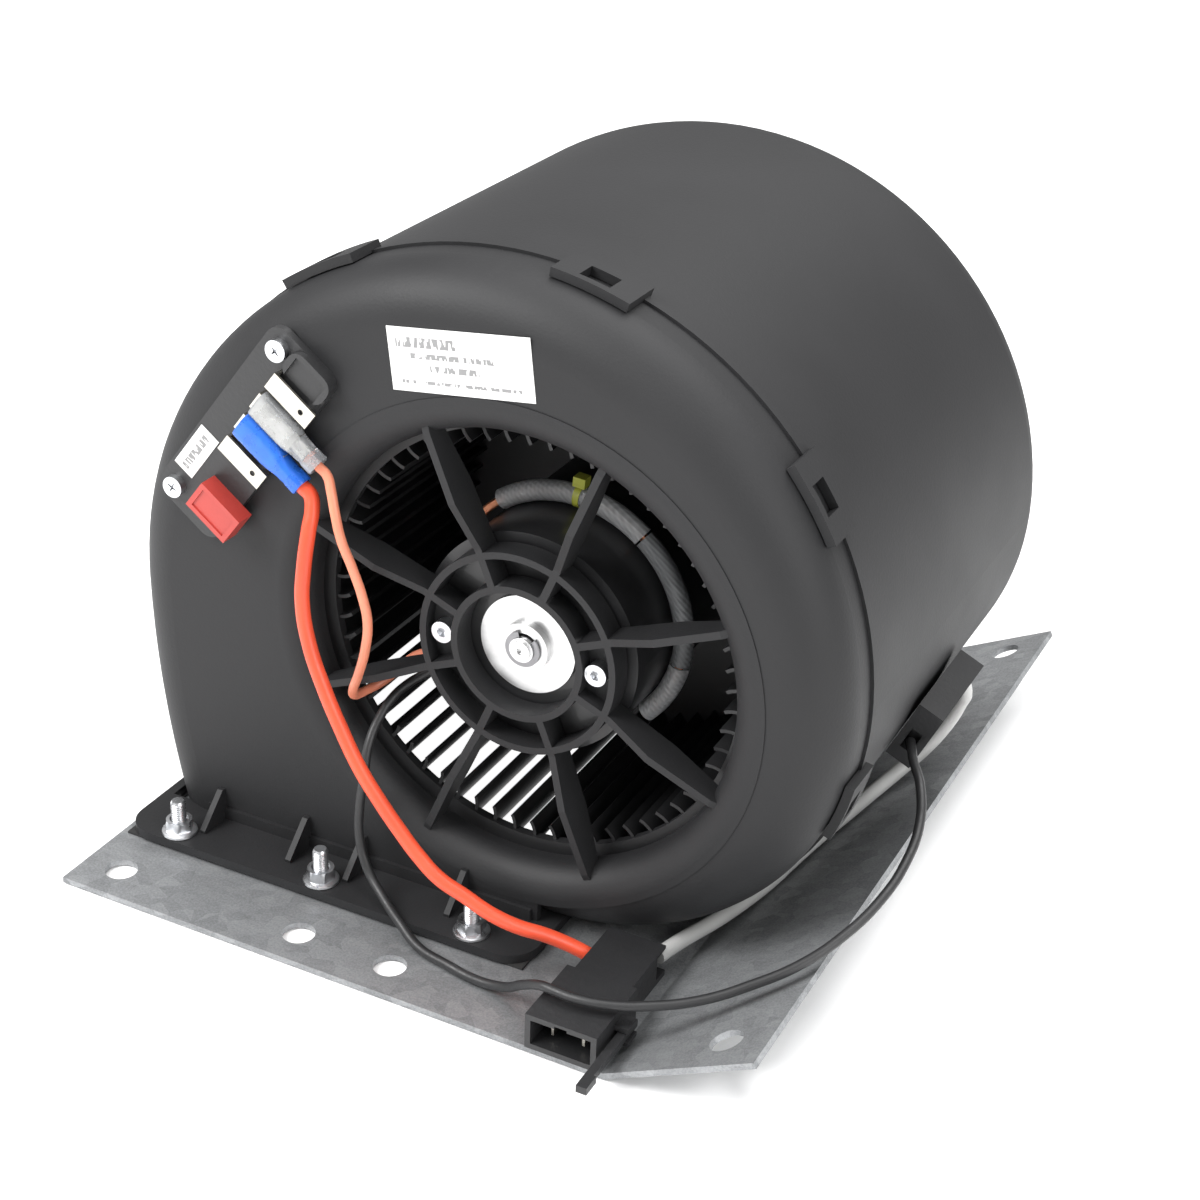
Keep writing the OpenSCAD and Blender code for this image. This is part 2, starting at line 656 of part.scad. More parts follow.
module field_magnets() {
  color([0.2, 0.2, 0.2]) for (a = [-90, 90]) on_axis(core_y - 3) rotate([0, 0, a - 60])
    rotate_extrude(angle = 120, $fn = fn_big) translate([magnet_in, 0]) square([magnet_out - magnet_in, core_len + 6]);
}

brush_y = commutator_y + commutator_len / 2;
brush_len = 10;
brush_gap = 0.25;

module brush_plate() {
  color([0.5, 0.35, 0.2]) difference() {
    union() {
      on_axis(can_y + 0.2) difference() {
        cylinder(r = can_r - can_wall - 0.3, h = 2, $fn = fn_mid);
        translate([0, 0, -1]) cylinder(r = commutator_r + 2, h = 4, $fn = fn_mid);
      }
      for (s = [-1, 1]) translate([s * (commutator_r + 2 + 8), can_y + 1 + (brush_y + 4.5 - can_y - 1) / 2, axis_h])
        cube([16, brush_y + 4.5 - can_y - 1, 10], center = true);
    }
    for (s = [-1, 1]) translate([s * (commutator_r + 10), brush_y, axis_h]) cube([22, 6.6, 7.6], center = true);
  }
}

module brush(side) {
  color([0.15, 0.15, 0.15]) translate([side * (commutator_r + brush_gap + brush_len / 2), brush_y, axis_h])
    cube([brush_len, 6, 7], center = true);
}

module left_brush() {
  brush(-1);
}

module right_brush() {
  brush(1);
}

module brush_springs() {
  reach = can_r - can_wall - 1 - commutator_r - brush_len - brush_gap - 0.4;
  turns = 7;
  color([0.7, 0.7, 0.7]) for (s = [-1, 1]) translate([s * (commutator_r + brush_gap + brush_len + 0.3), brush_y, axis_h])
    rotate([0, s * 90, 0]) rotate_extrude($fn = fn_small) {
      translate([1.7, 0.2]) square([0.4, reach - 0.6]);
      for (i = [0 : turns - 1]) translate([2, 0.6 + i * (reach - 1.4) / (turns - 1)]) circle(r = 0.45, $fn = 16);
    }
}

// A tube that runs round the can at the lead's radius, between two angles.
module round_can(from, to, r_in, r_out) {
  on_axis(sleeve_y) rotate([0, 0, -to]) rotate_extrude(angle = to - from, $fn = fn_big) translate([sleeve_path, 0]) difference() {
    circle(r = r_out, $fn = fn_small);
    circle(r = r_in, $fn = fn_small);
  }
}

module can_lead_sleeve() {
  color([0.9, 0.9, 0.88]) {
    round_can(52, 126, sleeve_r - 0.6, sleeve_r);
    round_can(-44, -12, sleeve_r - 0.6, sleeve_r);
  }
}

module can_lead_shrink() {
  color([0.45, 0.45, 0.46]) round_can(-11, 51, 1.7, sleeve_r - 0.1);
}

module can_lead() {
  color([0.85, 0.45, 0.25]) on_axis(sleeve_y) rotate([0, 0, -140]) rotate_extrude(angle = 180, $fn = fn_big)
    translate([sleeve_path, 0]) circle(r = 1.4, $fn = fn_small);
}

module sleeve_tie() {
  color([0.7, 0.75, 0.3]) {
    round_can(84, 87, sleeve_r + 0.05, sleeve_r + fit_gap - 0.05);
    on_axis(sleeve_y - 2) at_angle(85.5) translate([sleeve_path + sleeve_r + 0.1, -2, 0]) cube([3.2, 4, 4]);
  }
}

// Forward-curved blades between two depths.
module blades(y0, y1) {
  span = 74;
  chord_mid = (blade_in_r + wheel_r) / 2;
  on_axis(y0) for (i = [0 : blade_count - 1]) rotate([0, 0, i * 360 / blade_count])
    translate([chord_mid, blade_curve * 0.62, 0]) rotate([0, 0, -125]) rotate_extrude(angle = span, $fn = fn_mid)
      translate([blade_curve - blade_t, 0]) square([blade_t, y1 - y0]);
}

module hoop(y, r_in) {
  on_axis(y) difference() {
    cylinder(r = wheel_r + 0.3, h = hoop_w, $fn = fn_big);
    translate([0, 0, -1]) cylinder(r = r_in, h = hoop_w + 2, $fn = fn_big);
  }
}

module wheel_front_cage() {
  color([0.13, 0.13, 0.13]) {
    blades(wheel_y + 1, web_y);
    hoop(wheel_y, wheel_r - hoop_h);
    on_axis(web_y - web_t / 2) difference() {
      cylinder(r = wheel_r, h = web_t / 2, $fn = fn_big);
      translate([0, 0, -1]) cylinder(r = hub_r + 0.02, h = web_t, $fn = fn_mid);
    }
  }
}

module wheel_rear_cage() {
  color([0.13, 0.13, 0.13]) {
    blades(web_y, wheel_end - 1);
    hoop(wheel_end - hoop_w, wheel_r - hoop_h);
    on_axis(web_y) difference() {
      cylinder(r = wheel_r, h = web_t / 2, $fn = fn_big);
      translate([0, 0, -1]) cylinder(r = hub_r + 0.02, h = web_t, $fn = fn_mid);
    }
  }
}

module wheel_hub() {
  color([0.7, 0.7, 0.7]) on_axis(hub_y) difference() {
    union() {
      cylinder(r = hub_r, h = hub_len, $fn = fn_mid);
      translate([0, 0, web_y - hub_y + web_t / 2 + 0.01]) cylinder(r = hub_r + 5, h = 2.5, $fn = fn_mid);
    }
    translate([0, 0, -1]) cylinder(r = shaft_r + 0.02, h = hub_len + 2, $fn = fn_mid);
  }
}

module hub_clip() {
  color([0.6, 0.6, 0.62]) on_axis(hub_y + hub_len) difference() {
    cylinder(r = shaft_r + 3.5, h = 0.8, $fn = fn_mid);
    translate([0, 0, -1]) cylinder(r = shaft_r + 0.02, h = 3, $fn = fn_mid);
  }
}

// The card's own frame: X from the lower screw to the upper one, Z away from the inlet.
module card_frame() {
  translate([card_x, 0, axis_h + card_z]) rotate([0, -card_angle, 0]) children();
}

module card_plate(s0, s1, b0, b1, r, t) {
  translate([s0 + r, 0, -b1]) cube([s1 - s0 - 2 * r, t, b1 - b0]);
  translate([s0, 0, -b1 + r]) cube([s1 - s0, t, b1 - b0 - 2 * r]);
  for (s = [s0 + r, s1 - r]) for (b = [b0 + r, b1 - r]) translate([s, 0, -b]) rotate([-90, 0, 0])
    cylinder(r = r, h = t, $fn = fn_small);
}

module resistor_card() {
  color([0.12, 0.12, 0.12]) card_frame() difference() {
    union() {
      translate([0, -card_t, 0]) card_plate(card_low, card_high, card_out, card_in, 5, card_t);
      translate([0, -card_t - 2.2, 0]) difference() {
        card_plate(62, card_high, 4, card_in, 4, 2.5);
        translate([-1, -1, -card_in + 2]) cube([card_high - 2 + 1, 2.2, 12]);
      }
      for (s = [18, 37, 55.5]) translate([s, -1, -9.5]) cube([1.6, 12, 4]);
    }
    for (s = [0, card_screw_gap]) translate([s, -card_t - 3, 0]) rotate([-90, 0, 0]) cylinder(r = 1.8, h = 12, $fn = fn_small);
    for (s = TAB_S) translate([s - tab_w / 2 - 0.02, -card_t - 1, -tab_root - 0.8]) cube([tab_w + 0.04, card_t + 0.4, 0.84]);
    for (k = [0:2]) translate([17, coil_y, -3.4 - k * 4.6]) rotate([0, 90, 0]) cylinder(r = 1.55, h = 42, $fn = fn_small);
  }
}

coil_y = 7.5;

module resistor_coils() {
  color([0.6, 0.58, 0.55]) card_frame() for (k = [0:2]) translate([17.4, coil_y, -3.4 - k * 4.6]) rotate([0, 90, 0])
    rotate_extrude($fn = fn_small) {
      square([1.5, 40.6]);
      for (start = [4, 22.5]) for (i = [0 : 8 - k]) translate([1.7, start + i * (1.75 + k * 0.2)]) circle(r = 0.4, $fn = 16);
    }
}

module card_terminals() {
  color([0.8, 0.79, 0.75]) card_frame() for (s = TAB_S) difference() {
    union() {
      translate([s - tab_w / 2, tab_y, -tab_end]) cube([tab_w, tab_t, tab_end - tab_root]);
      translate([s - tab_w / 2, tab_y, -tab_root - tab_t]) cube([tab_w, tab_lift + card_t - 0.6, tab_t]);
    }
    translate([s, tab_y - 1, -tab_end + 4]) rotate([-90, 0, 0]) cylinder(r = 0.9, h = 3, $fn = fn_small);
  }
}

module card_screws() {
  color([0.8, 0.8, 0.82]) card_frame() for (s = [0, card_screw_gap]) translate([s, -card_t, 0]) rotate([-90, 0, 0]) {
    difference() {
      translate([0, 0, -2.4]) cylinder(r = 3.4, h = 2.4, $fn = fn_small);
      for (a = [0, 90]) rotate([0, 0, a]) translate([-1.8, -0.4, -3]) cube([3.6, 0.8, 1.8]);
    }
    translate([0, 0, -0.1]) cylinder(r = 1.5, h = 10, $fn = fn_small);
  }
}

module thermal_fuse() {
  color([0.68, 0.22, 0.2]) card_frame() difference() {
    translate([3.4, -card_t - 6.5, -24]) cube([10.6, 6.5, 16.5]);
    translate([5, -card_t - 7, -22.4]) cube([7.4, 1, 13.3]);
  }
}

module card_label() {
  color([0.9, 0.9, 0.9]) card_frame() translate([6.5, -card_t - 0.2, -2.6]) cube([18, 0.2, 7.6]);
}

module rating_label() {
  color([0.92, 0.92, 0.92]) translate([-15.6, -0.2, axis_h + inlet_rim_r + 10.8]) rotate([0, -7, 0]) translate([-23, 0, -9.4])
    cube([46, 0.2, 18.8]);
}

// Insulated push-on sleeve around a tab, its wide half towards the tab's root.
module push_on_sleeve(s) {
  card_frame() translate([s, tab_y + tab_t / 2, -sleeve_root]) difference() {
    union() {
      translate([-(sleeve_w - sleeve_h) / 2, -sleeve_h / 2, -grip_len - 1.2]) cube([sleeve_w - sleeve_h, sleeve_h, grip_len + 1.2]);
      for (x = [-1, 1]) translate([x * (sleeve_w - sleeve_h) / 2, 0, -grip_len - 1.2])
        cylinder(r = sleeve_h / 2, h = grip_len + 1.2, $fn = fn_small);
      translate([0, 0, -sleeve_len]) cylinder(r = 3.2, h = sleeve_len - grip_len - 0.8, $fn = fn_small);
    }
    translate([-4, -1.55, -grip_len - 0.6]) cube([8, 3.1, grip_len + 2]);
    translate([0, 0, -sleeve_len - 1]) cylinder(r = 2.5, h = sleeve_len - grip_len + 1.2, $fn = fn_small);
  }
}

module blue_sleeve() {
  color([0.2, 0.45, 0.85, 0.7]) push_on_sleeve(TAB_S[1]);
}

module clear_sleeve() {
  color([0.75, 0.77, 0.78, 0.6]) push_on_sleeve(TAB_S[2]);
}

// Rolled receptacle that grips the tab, with its crimp barrel.
module receptacle(s) {
  card_frame() translate([s, tab_y + tab_t / 2, -sleeve_root]) {
    difference() {
      translate([-3.8, -1.4, -grip_len]) cube([7.6, 2.8, grip_len - 0.6]);
      translate([-tab_w / 2 - 0.15, -tab_t / 2 - 0.1, -grip_len - 1]) cube([tab_w + 0.3, tab_t + 0.2, grip_len + 1]);
    }
    translate([0, 0, -grip_len - 5]) difference() {
      cylinder(r = 2.3, h = 5.2, $fn = fn_small);
      translate([0, 0, -1]) cylinder(r = 1.4, h = 5, $fn = fn_small);
    }
  }
}

module blue_receptacle() {
  color([0.8, 0.79, 0.75]) receptacle(TAB_S[1]);
}

module clear_receptacle() {
  color([0.8, 0.79, 0.75]) receptacle(TAB_S[2]);
}

// Tube along a list of points: one ring of points across each, kept square to the way it runs.
function unit(v) = v / norm(v);
function heading(p, i) = unit(p[min(i + 1, len(p) - 1)] - p[max(i - 1, 0)]);
function across(t) = unit(cross(t, abs(t[2]) > 0.9 ? [1, 0, 0] : [0, 0, 1]));
function ring_points(p, i, r, n) = let (t = heading(p, i), u = across(t), v = cross(t, u))
  [for (k = [0 : n - 1]) p[i] + r * (cos(360 * k / n) * u + sin(360 * k / n) * v)];

module tube(p, d, n) {
  m = len(p);
  rings = [for (i = [0 : m - 1]) each ring_points(p, i, d / 2, n)];
  sides = [for (i = [0 : m - 2]) for (k = [0 : n - 1])
    [i * n + k, (i + 1) * n + k, (i + 1) * n + (k + 1) % n, i * n + (k + 1) % n]];
  first = [for (k = [0 : n - 1]) k];
  last = [for (k = [n - 1 : -1 : 0]) (m - 1) * n + k];
  polyhedron(points = rings, faces = concat([first], sides, [last]), convexity = 8);
}

module supply_lead() {
  color([0.85, 0.32, 0.2]) tube(SUPPLY_ROUTE, supply_d, 10);
}

module motor_lead() {
  color([0.88, 0.55, 0.45]) tube(MOTOR_ROUTE, motor_lead_d, 8);
}

module twin_lead() {
  color([0.1, 0.1, 0.1]) tube(TWIN_ROUTE, twin_d, 8);
}

module return_lead() {
  color([0.72, 0.72, 0.71]) tube(RETURN_ROUTE, return_d, 8);
}

module connector_housing() {
  color([0.08, 0.08, 0.08]) difference() {
    union() {
      translate([connector_x - connector_w / 2, connector_front, plate_t]) cube([connector_w, 26, connector_h]);
      translate([connector_x - connector_neck / 2, connector_front + 24, plate_t])
        cube([connector_neck, connector_back - connector_front - 24, connector_h - 1]);
      for (z = [3, connector_h - 4.5]) translate([connector_x + connector_w / 2 - 1, latch_pivot_y - 3, plate_t + z])
        cube([5.6, 6, 1.5]);
    }
    translate([connector_x - connector_w / 2 + 1.8, connector_front - 1, plate_t + 1.8])
      cube([connector_w - 3.6, 20, connector_h - 3.6]);
    translate([connector_x - 2, connector_front - 1, plate_t + connector_h - 2.4]) cube([4, 20, 1.4]);
    translate([connector_x - connector_neck / 2 - 1, -14, plate_t + 3.5]) cube([4, 7, 7]);
    translate([connector_x + 3, -6, plate_t + 1.9]) cube([8, 8, 8]);
    translate([latch_x, latch_pivot_y, plate_t]) cylinder(r = 1.25, h = connector_h, $fn = fn_small);
  }
}

module connector_terminals() {
  color([0.8, 0.79, 0.75]) for (x = [-5, 5]) translate([connector_x + x - 0.4, connector_front + 5, plate_t + 3.2])
    cube([0.8, 14, 5.6]);
}

module connector_latch() {
  color([0.1, 0.1, 0.1]) {
    translate([latch_x - 1.3, -65, plate_t + 4.8]) cube([2.6, 34, 2.4]);
    translate([latch_x - 1.3, -65, plate_t + 4.8]) cube([3.4, 6, 2.4]);
    translate([latch_x, latch_pivot_y, plate_t + 3.2]) cylinder(r = 1.2, h = connector_h - 6.2, $fn = fn_small);
  }
}

// Flat plug taped against the side of the housing, tangent to it at its own angle.
side_angle = -24.6;
side_gap = tongue_r + c_tongue[0] * cos(side_angle) + fit_gap;
module side_connector() {
  color([0.12, 0.12, 0.12]) translate([0, 0, axis_h]) rotate([0, -side_angle, 0]) translate([side_gap, 78, 0]) difference() {
    cube([9, side_w, 22]);
    translate([2, side_w - 10, 5]) cube([5, 12, 12]);
    translate([2.5, -1, 5]) cube([4, 8, 8]);
  }
}

front_cover();
scroll_body();
flange_gasket();
base_plate();
flange_studs();
flange_nuts();
motor_can();
motor_end_shield();
motor_nose_cap();
motor_screws();
front_bearing();
rear_bearing();
motor_shaft();
shaft_circlip();
armature_core();
armature_windings();
commutator();
field_magnets();
brush_plate();
left_brush();
right_brush();
brush_springs();
can_lead_sleeve();
can_lead_shrink();
can_lead();
sleeve_tie();
wheel_front_cage();
wheel_rear_cage();
wheel_hub();
hub_clip();
resistor_card();
resistor_coils();
card_terminals();
card_screws();
thermal_fuse();
card_label();
rating_label();
blue_sleeve();
clear_sleeve();
blue_receptacle();
clear_receptacle();
supply_lead();
motor_lead();
twin_lead();
return_lead();
connector_housing();
connector_terminals();
connector_latch();
side_connector();
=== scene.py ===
import json
import math

import bmesh
import bpy
from bpy.props import FloatProperty, FloatVectorProperty, IntProperty, PointerProperty
from mathutils import Matrix, Vector


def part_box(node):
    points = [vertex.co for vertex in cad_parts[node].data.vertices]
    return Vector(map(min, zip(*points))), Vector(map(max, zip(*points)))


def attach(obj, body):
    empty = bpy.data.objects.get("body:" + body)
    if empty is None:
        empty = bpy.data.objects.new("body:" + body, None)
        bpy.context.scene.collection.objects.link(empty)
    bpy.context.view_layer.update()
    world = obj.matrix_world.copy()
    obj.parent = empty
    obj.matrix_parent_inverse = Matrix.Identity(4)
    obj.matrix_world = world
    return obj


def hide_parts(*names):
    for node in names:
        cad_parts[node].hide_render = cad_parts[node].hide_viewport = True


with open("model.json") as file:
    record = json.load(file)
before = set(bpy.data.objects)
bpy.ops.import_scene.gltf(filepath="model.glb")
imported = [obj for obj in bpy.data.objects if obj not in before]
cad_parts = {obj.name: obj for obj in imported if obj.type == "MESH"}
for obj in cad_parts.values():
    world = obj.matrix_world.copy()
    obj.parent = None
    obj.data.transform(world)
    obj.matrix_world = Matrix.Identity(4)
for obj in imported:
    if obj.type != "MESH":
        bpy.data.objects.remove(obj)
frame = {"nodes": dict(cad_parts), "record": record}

bl_info = {
    "name": "DC blower fan",
    "version": (1, 0, 0),
    "blender": (4, 5, 0),
    "location": "View3D > Sidebar > Blower",
    "description": "Dresses and lights a twin-inlet dc blower on its base plate",
    "category": "Object",
}

MM = 0.001
SHARP = math.radians(35)

AXIS_H = 0.094
FLANGE_TOP = 0.0058
STUD_X = (-0.1125, -0.0575, -0.0025)
STUD_Y = (-0.0145, 0.2095)
# The outlet's low and high corners in the plate.
OUTLET = (-0.122, 0.006), (0.002, 0.189)

# The resistor card's own frame: X along the card from its lower screw, -Y out of its face.
CARD_TILT = 52.7
CARD = (Matrix.Translation((-0.1141, 0, 0.1255))
        @ Matrix.Rotation(-math.radians(CARD_TILT), 4, "Y"))
CARD_FACE = -0.0026
CARD_SCREWS = (0, 0.066)
CARD_LABEL_AT = (0.0155, 0, 0.0012)
TAB_Y = -5.4

CAMERA_AT = (0.2627, -0.4783, 0.4056)
CAMERA_RIGHT = Vector((0.89071, 0.45333, 0.03381))
CAMERA_UP = Vector((-0.23931, 0.40438, 0.88273))
CAMERA_LOOK = Vector((-0.38650, 0.79434, -0.46867))
CAMERA_LENS, CAMERA_SENSOR = 64.24, 36

# Name, place, size, share of the key light's power, and the point it is aimed at.
LAMPS = (
    ("Key light", (-0.75, -0.75, 1.15), 0.9, 1, (0, 0.05, 0.08)),
    ("Top light", (0.25, 0.45, 1.5), 1.4, 0.9, (0, 0.1, 0.1)),
    ("Side light", (1.3, -0.5, 0.7), 0.8, 0.35, (0, 0.05, 0.1)),
)
FLOOR_DROP = 0.0005
PANEL_LIFT = 0.0002
FLOOR_REACH = 4

# Rings of turned forms in millimetres: (radius, height, corners), corners as corner_radius says.
NUT = [(2.52, 0.02, 0), (5.7, 0.02, 0), (5.9, 0.25, 0), (5.75, 0.9, 0), (4.9, 1.3, 0),
       (4.62, 1.35, 6), (4.62, 4.45, 6), (4.25, 4.95, 0), (3.1, 5.0, 0), (2.62, 4.6, 0),
       (2.52, 4.4, 0), (2.52, 0.3, 0)]
STUD_FOOT = [(3.9, 0, 0), (3.9, 0.8, 0), (2.5, 0.8, 0), (2.5, 5.9, 0)]
STUD_TIP = [(2.4, 17.0, 0), (1.95, 17.75, 0)]
# One turn of thread: (radius, share of the pitch), from THREAD_START until past THREAD_END.
THREAD = ((2.48, 0.1), (2.48, 0.2), (2.12, 0.6), (2.12, 0.7))
THREAD_START, THREAD_END = 5.9, 16.6
MOTOR_SCREW = [(3.35, 0.02, 0), (3.5, 0.3, 0), (3.5, 3.3, 0), (3.3, 3.85, 0), (2.9, 4.03, 0),
               (2.1, 4.03, 0), (1.95, 3.8, 6), (1.9, 1.4, 6), (0.3, 1.2, 0)]
MOTOR_SCREW_X = (-25.9, 25.9)
MOTOR_SCREW_Y = 0.011
CARD_SCREW = [(3.1, 0, 0), (3.35, 0.3, 0), (3.3, 1.2, 0), (2.8, 2.0, 0), (2.2, 2.35, 0),
              (1.9, 2.35, -4), (1.5, 1.2, -4), (0.5, 0.9, -4)]

# Push-on sleeves: name and place along the card, and (reach, half width, half depth) sections.
SLEEVES = (("blue", 38.9), ("clear", 48.7))
SLEEVE = ((5.6, 3.9, 1.6), (5.0, 4.1, 1.9), (5.2, 4.7, 2.5), (6.2, 4.8, 2.65), (14, 4.8, 2.65),
          (17.5, 4.75, 2.65), (20, 4.3, 2.75), (22, 3.6, 2.95), (23.5, 3.2, 3.05), (25, 3.1, 3.1),
          (26.4, 2.95, 2.95), (27.4, 3.15, 3.15), (30.4, 3.2, 3.2), (31, 2.95, 2.95),
          (31, 2.5, 2.5), (28, 2.45, 2.45))

# Leads: name, slot and stiffness, and the points each one runs through in millimetres.
LEADS = (("supply", "lead_red", "medium"), ("motor", "lead_pink", "medium"),
         ("twin", "lead_black", "stiff"), ("return", "lead_grey", "medium"))
ROUTES = {
    "supply": [
        (-69.21, -5.4, 140.2), (-65.87, -5.4, 137.66), (-63.08, -5.4, 135.54), (-61.6, -6.9, 132),
        (-61.3, -9.4, 126.5), (-61.5, -12.2, 116), (-61.2, -14.2, 104), (-58, -16, 92),
        (-52, -18, 80), (-45, -20, 69), (-37, -22, 58), (-30, -23, 50), (-22, -24, 42),
        (-15, -25, 36), (-7, -26, 31), (1, -25, 27), (9, -24, 23), (17, -21, 19), (24, -17, 16),
        (31, -13, 12), (37, -11, 9)],
    "motor": [
        (-63.27, -5.4, 148), (-59.93, -5.4, 145.45), (-57.14, -5.4, 143.33), (-54.7, -7, 139.2),
        (-52.6, -8.6, 134), (-50.5, -9, 126), (-48, -7, 116), (-46, -5, 106), (-45, -4, 97),
        (-46, -4, 88), (-49, -3.4, 78), (-52, -2, 71), (-54, 2, 66.5), (-54, 8, 65),
        (-51.5, 14, 66), (-48, 17.8, 69.5), (-43.5, 19, 74.5), (-37.4, 19, 78.4)],
    "twin": [
        (-34.6, 19, 73), (-39, 18, 70), (-43, 14.5, 67), (-45.2, 9, 64), (-46, 4, 60.5),
        (-46, -3, 54), (-45.5, -7, 44), (-46, -9, 34), (-45, -11, 24), (-41, -13, 15),
        (-33, -17, 9.5), (-24, -22, 6.5), (-14, -27, 3.8), (-2, -30, 3.6), (9, -32, 3.6),
        (20, -34, 6.5), (28, -37, 12.5), (35, -39.5, 16.6), (40, -40.5, 17.3), (46, -41, 17.5),
        (56, -39, 17.5), (66, -34, 17.5), (79, -26, 19), (91, -17, 23), (102, -7, 28),
        (110, 6, 33), (115, 20, 38), (117, 34, 43), (116, 48, 49), (112, 58, 55), (106, 68, 57),
        (101.6, 77.8, 57.4)],
    "return": [
        (54, 0, 8), (55.5, 6, 8), (58, 14, 8), (62, 25, 8.2), (66, 38, 8.8), (69, 50, 9.6),
        (72, 64, 11.4), (75, 78, 12.8), (79, 92, 14.8), (83, 106, 17), (88, 118, 21),
        (94, 126, 28), (99, 130, 37), (102, 129, 45), (104, 126, 51), (102.8, 123.5, 57),
        (102.5, 118.2, 59.2)],
}

# Materials by slot, made by the finishes step.
FINISH = {}


# ---------------------------------------------------------------- shader graphs

class Value:
    """A shader value; arithmetic on it adds Math nodes to its graph."""

    def __init__(self, graph, socket):
        self.graph = graph
        self.socket = socket

    def do(self, operation, *others):
        """This value and the others through a Math operation, such as SINE or POWER."""
        node = self.graph.add("ShaderNodeMath", dict(enumerate((self, *others))),
                              operation=operation)
        return Value(self.graph, node.outputs[0])

    def __add__(self, other):
        return self.do("ADD", other)

    def __sub__(self, other):
        return self.do("SUBTRACT", other)

    def __mul__(self, other):
        return self.do("MULTIPLY", other)

    def __gt__(self, other):
        return self.do("GREATER_THAN", other)

    def __lt__(self, other):
        return self.do("LESS_THAN", other)

    def span(self, low, high, to_low, to_high):
        """Maps low..high onto to_low..to_high, clamped at both ends."""
        node = self.graph.add("ShaderNodeMapRange", {
            "Value": self, "From Min": low, "From Max": high, "To Min": to_low, "To Max": to_high})
        return Value(self.graph, node.outputs[0])


class Graph:
    """One material and the nodes behind its Principled shader."""

    def __init__(self, name, **constants):
        self.material = bpy.data.materials.new(name)
        self.material.use_nodes = True
        self.tree = self.material.node_tree
        self.shader = self.tree.nodes["Principled BSDF"]
        self.place = Value(self, self.add("ShaderNodeTexCoord").outputs["Object"])
        for key, value in constants.items():
            self.shader.inputs[key.replace("_", " ")].default_value = value

    def add(self, kind, inputs=None, **settings):
        node = self.tree.nodes.new(kind)
        for key, value in settings.items():
            setattr(node, key, value)
        for key, value in (inputs or {}).items():
            if isinstance(value, Value):
                self.tree.links.new(value.socket, node.inputs[key])
            else:
                node.inputs[key].default_value = value
        return node

    def join(self, socket_name, value):
        self.tree.links.new(value.socket, self.shader.inputs[socket_name])

    def noise(self, scale, detail=3.0, place=None, roughness=0.55):
        node = self.add("ShaderNodeTexNoise", {
            "Vector": place or self.place, "Scale": scale, "Detail": detail,
            "Roughness": roughness})
        return Value(self, node.outputs["Fac"])

    def cells(self, scale, output="Distance"):
        node = self.add("ShaderNodeTexVoronoi", {"Vector": self.place, "Scale": scale})
        return Value(self, node.outputs[output])

    def axes(self, place=None):
        node = self.add("ShaderNodeSeparateXYZ", {0: place or self.place})
        return [Value(self, out) for out in node.outputs]

    def stretched(self, scale):
        node = self.add("ShaderNodeMapping", {"Vector": self.place, "Scale": scale})
        return Value(self, node.outputs[0])

    def blend(self, factor, first, second):
        """Mixes two colours; the result feeds a colour socket."""
        node = self.add("ShaderNodeMix", {"Factor": factor}, data_type="RGBA")
        for index, colour in ((6, first), (7, second)):
            if isinstance(colour, Value):
                self.tree.links.new(colour.socket, node.inputs[index])
            else:
                node.inputs[index].default_value = (*colour, 1)
        return Value(self, node.outputs[2])

    def bump(self, height, strength, distance):
        node = self.add("ShaderNodeBump", {
            "Height": height, "Strength": strength, "Distance": distance})
        self.join("Normal", Value(self, node.outputs[0]))


def moulded(name, colour, rough=0.55, grain=1500, depth=0.00012, strength=0.5,
            **constants):
    """Spark-grained moulded plastic with a faint drift in shade and gloss."""
    g = Graph(name, **constants)
    drift = g.noise(14, 4)
    fine = g.noise(grain, 2, roughness=0.7)
    pits = g.cells(grain * 0.7)
    dark = tuple(c * 0.8 for c in colour)
    light = tuple(min(1, c * 1.22 + 0.003) for c in colour)
    g.join("Base Color", g.blend(drift.span(0.3, 0.7, 0, 1) * 0.7 + fine * 0.3, dark, light))
    g.join("Roughness", drift.span(0.3, 0.7, rough - 0.05, rough + 0.06) + fine * 0.05)
    g.bump(fine * 0.6 + pits * 0.4, strength, depth)
    return g.material


def metal(name, colour, rough=0.3, scratch=900, ringed=False, **constants):
    """Plated or bare metal with hairline scratches, or turned rings about the fan's axis."""
    g = Graph(name, Metallic=1.0, **constants)
    patch = g.noise(120, 4)
    if ringed:
        x, _, z = g.axes()
        z = z - AXIS_H
        ring = g.add("ShaderNodeCombineXYZ", {0: (x * x + z * z).do("SQRT")})
        fine = g.noise(scratch * 3, 2, Value(g, ring.outputs[0]))
    else:
        fine = g.noise(scratch, 3, g.stretched((0.15, 1, 1)))
    dark = tuple(c * 0.72 for c in colour)
    g.join("Base Color", g.blend(patch.span(0.35, 0.7, 0, 1), dark, colour))
    g.join("Roughness", patch.span(0.3, 0.7, rough - 0.06, rough + 0.1) + fine * 0.08)
    g.bump(fine, 0.25, 0.00005)
    return g.material


def galvanised(name, spangle):
    """Hot-dip zinc sheet: soft grey crystals, fine speckle and light handling marks."""
    g = Graph(name)
    wobble = g.noise(35, 3)
    crystal = g.cells(spangle, "Color")
    tone, _, _ = g.axes(crystal)
    speck = g.noise(1400, 2, roughness=0.8)
    rub = g.noise(300, 4, g.stretched((0.08, 1, 1)))
    shade = tone * 0.14 + wobble * 0.2 + speck * 0.46 + rub * 0.2
    g.join("Base Color", g.blend(shade.span(0.25, 0.75, 0, 1),
                                 (0.14, 0.145, 0.15), (0.42, 0.43, 0.44)))
    g.join("Roughness", shade.span(0.3, 0.7, 0.56, 0.44))
    g.join("Metallic", wobble.span(0.3, 0.7, 0.62, 0.7))
    g.bump(speck * 0.5 + rub * 0.5, 0.22, 0.00006)
    return g.material


